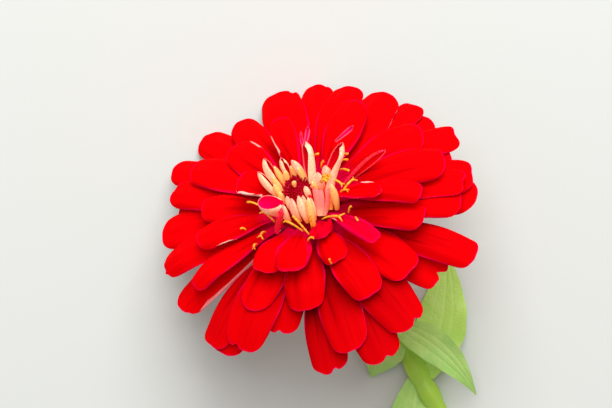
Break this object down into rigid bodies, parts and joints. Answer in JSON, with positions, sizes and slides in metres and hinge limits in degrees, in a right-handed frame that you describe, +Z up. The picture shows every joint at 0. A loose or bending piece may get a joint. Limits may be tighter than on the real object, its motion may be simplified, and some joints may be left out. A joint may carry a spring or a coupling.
{
  "type": "zinnia flower",
  "caption": "Picked double flower with layered strap-shaped red petals, cream rolled quills round a dark middle, green bract cup, curved stem and opposite leaves, lying on its side.",
  "frame": {"origin": "on the ground under the middle of the flower's bounding box", "axes": "+Z up, +Y from the cut end of the stem towards the bloom, +X to the right seen from above with the bloom at the top"},
  "size_m": [0.0882, 0.148, 0.0551],
  "materials": {
    "petal": "satin",
    "quill": "satin",
    "disc": "matte",
    "bract": "matte",
    "leaf": "matte",
    "stem": "satin"
  },
  "bodies": {
    "root": {"outer_petal_01": "petal", "outer_petal_02": "petal", "outer_petal_03": "petal", "outer_petal_04": "petal", "outer_petal_05": "petal", "outer_petal_06": "petal", "outer_petal_07": "petal", "outer_petal_08": "petal", "outer_petal_09": "petal", "outer_petal_10": "petal", "outer_petal_11": "petal", "outer_petal_12": "petal", "second_petal_01": "petal", "second_petal_02": "petal", "second_petal_03": "petal", "second_petal_04": "petal", "second_petal_05": "petal", "second_petal_06": "petal", "second_petal_07": "petal", "second_petal_08": "petal", "second_petal_09": "petal", "second_petal_10": "petal", "second_petal_11": "petal", "second_petal_12": "petal", "third_petal_01": "petal", "third_petal_02": "petal", "third_petal_03": "petal", "third_petal_04": "petal", "third_petal_05": "petal", "third_petal_06": "petal", "third_petal_07": "petal", "third_petal_08": "petal", "third_petal_09": "petal", "third_petal_10": "petal", "third_petal_11": "petal", "inner_petal_01": "petal", "inner_petal_02": "petal", "inner_petal_03": "petal", "inner_petal_04": "petal", "inner_petal_05": "petal", "inner_petal_06": "petal", "inner_petal_07": "petal", "inner_petal_08": "petal", "inner_petal_09": "petal", "small_petal_01": "petal", "small_petal_02": "petal", "small_petal_03": "petal", "small_petal_04": "petal", "quill_01": "quill", "quill_02": "quill", "quill_03": "quill", "quill_04": "quill", "quill_05": "quill", "receptacle": "disc", "involucre": "bract", "stem": "stem", "leaf_upper_right": "leaf", "leaf_upper_left": "leaf", "leaf_lower_right": "leaf", "leaf_lower_left": "leaf"}
  },
  "joints": []
}
